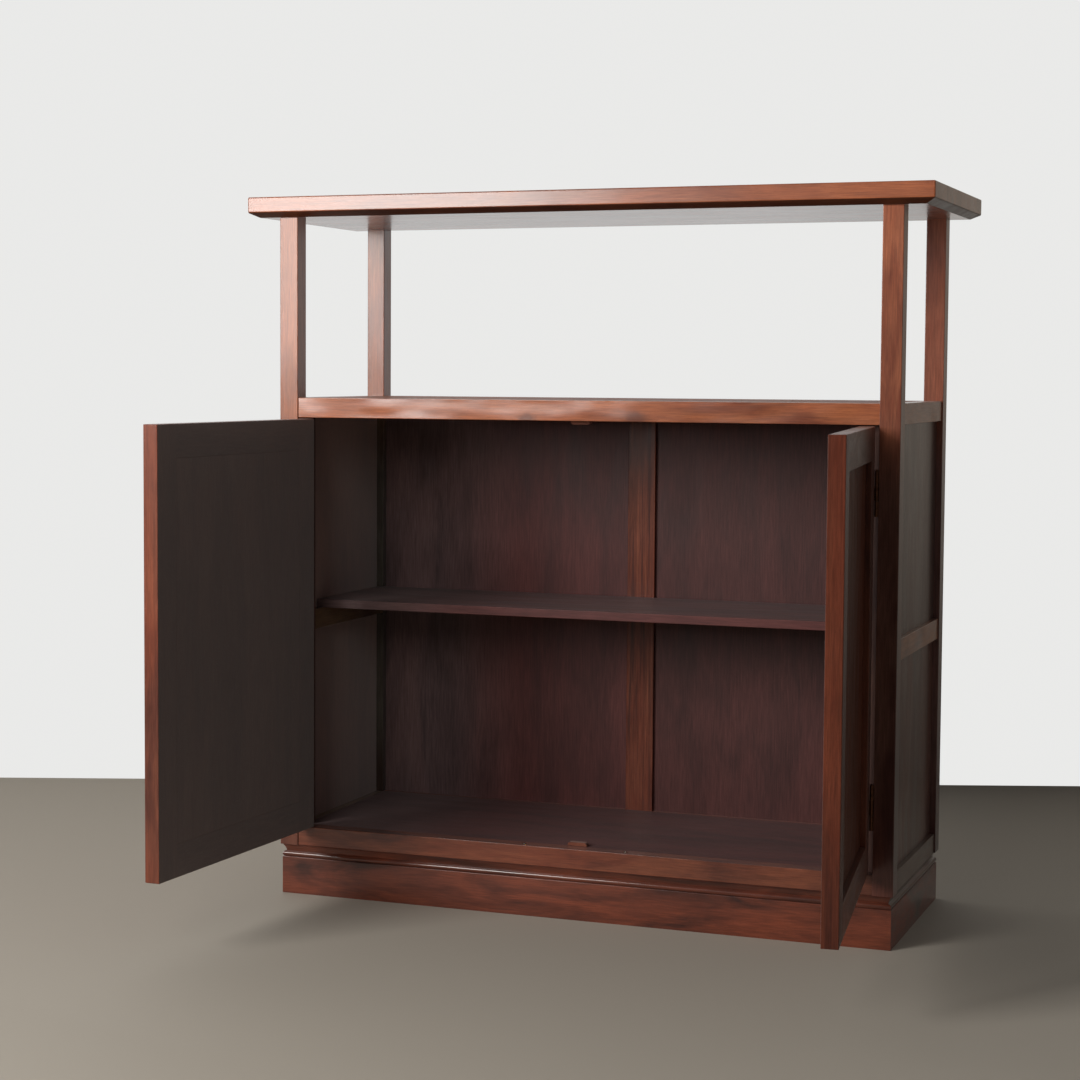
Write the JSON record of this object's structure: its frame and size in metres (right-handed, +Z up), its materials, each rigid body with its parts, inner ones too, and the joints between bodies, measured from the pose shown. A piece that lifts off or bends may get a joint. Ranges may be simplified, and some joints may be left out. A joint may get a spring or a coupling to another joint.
{
  "type": "bar cabinet",
  "caption": "Free-standing bar cabinet: open deck under a raised top on posts, over a cupboard with two hinged doors, a shelf and ball catches, on a moulded plinth.",
  "frame": {"origin": "on the floor, under the middle of the four posts", "axes": "+Z up, +X to the right seen from the front, +Y to the rear; the doors open towards -Y"},
  "size_m": [1.023, 0.7912, 1.05],
  "materials": {
    "top_wood": "clear satin lacquer over red-brown stained hardwood",
    "frame_wood": "clear satin lacquer over red-brown stained hardwood",
    "panel_wood": "satin lacquer over stained veneer",
    "door_wood": "satin lacquer over dark stained veneer",
    "deck_wood": "clear gloss lacquer over stained veneer",
    "inner_wood": "satin lacquer over dark stained veneer",
    "plinth_wood": "clear satin lacquer over figured hardwood",
    "hidden_wood": "bare softwood",
    "dark_brass": "darkened brass",
    "brass": "polished brass"
  },
  "bodies": {
    "carcass": {"back_panel_left": "panel_wood", "back_panel_right": "panel_wood", "back_stile": "inner_wood", "base_mould_front": "plinth_wood", "base_mould_left": "plinth_wood", "base_mould_rear": "plinth_wood", "base_mould_right": "plinth_wood", "catch_housings": "brass", "corner_blocks": "hidden_wood", "deck_panel": "deck_wood", "deck_rail_front": "frame_wood", "deck_rail_left": "frame_wood", "deck_rail_rear": "frame_wood", "deck_rail_right": "frame_wood", "door_stops": "frame_wood", "door_strips": "frame_wood", "floor_panel": "inner_wood", "hinge_pins": "dark_brass", "hinge_post_screws": "dark_brass", "left_hinge_post_leaves": "dark_brass", "low_rail_front": "frame_wood", "low_rail_left": "frame_wood", "low_rail_rear": "frame_wood", "low_rail_right": "frame_wood", "mid_rail_left": "frame_wood", "mid_rail_right": "frame_wood", "plinth_brace": "hidden_wood", "plinth_front": "plinth_wood", "plinth_left": "plinth_wood", "plinth_rear": "plinth_wood", "plinth_right": "plinth_wood", "post_front_left": "frame_wood", "post_front_right": "frame_wood", "post_rear_left": "frame_wood", "post_rear_right": "frame_wood", "right_hinge_post_leaves": "dark_brass", "shelf": "inner_wood", "side_panel_lower_left": "panel_wood", "side_panel_lower_right": "panel_wood", "side_panel_upper_left": "panel_wood", "side_panel_upper_right": "panel_wood", "top_board": "top_wood"},
    "left_door": {"left_door_hinge_stile": "door_wood", "left_door_free_stile": "door_wood", "left_door_top_rail": "door_wood", "left_door_bottom_rail": "door_wood", "left_door_panel": "door_wood", "left_strike_plate": "brass", "left_hinge_door_leaves": "dark_brass", "left_hinge_door_screws": "dark_brass"},
    "right_door": {"right_door_hinge_stile": "door_wood", "right_door_free_stile": "door_wood", "right_door_top_rail": "door_wood", "right_door_bottom_rail": "door_wood", "right_door_panel": "door_wood", "right_strike_plate": "brass", "right_hinge_door_leaves": "dark_brass", "right_hinge_door_screws": "dark_brass"},
    "catch_ball_left": {"catch_ball_left": "brass"},
    "catch_ball_right": {"catch_ball_right": "brass"}
  },
  "joints": [
    {"name": "left_door_hinge", "type": "hinge", "parent": "carcass", "child": "left_door", "pos_m": [-0.4351, -0.1729, 0.413], "axis": [0, 0, -1], "range_deg": [-93, 82]},
    {"name": "right_door_hinge", "type": "hinge", "parent": "carcass", "child": "right_door", "pos_m": [0.4351, -0.1729, 0.413], "axis": [0, 0, 1], "range_deg": [-97.3, 77.7]},
    {"name": "left_catch_press", "type": "slide", "parent": "carcass", "child": "catch_ball_left", "axis": [0, 0, 1], "range_m": [-0.0014, 0], "stiffness_N_per_m": 1000, "springref_m": 0.002},
    {"name": "right_catch_press", "type": "slide", "parent": "carcass", "child": "catch_ball_right", "axis": [0, 0, 1], "range_m": [-0.0014, 0], "stiffness_N_per_m": 1000, "springref_m": 0.002}
  ]
}
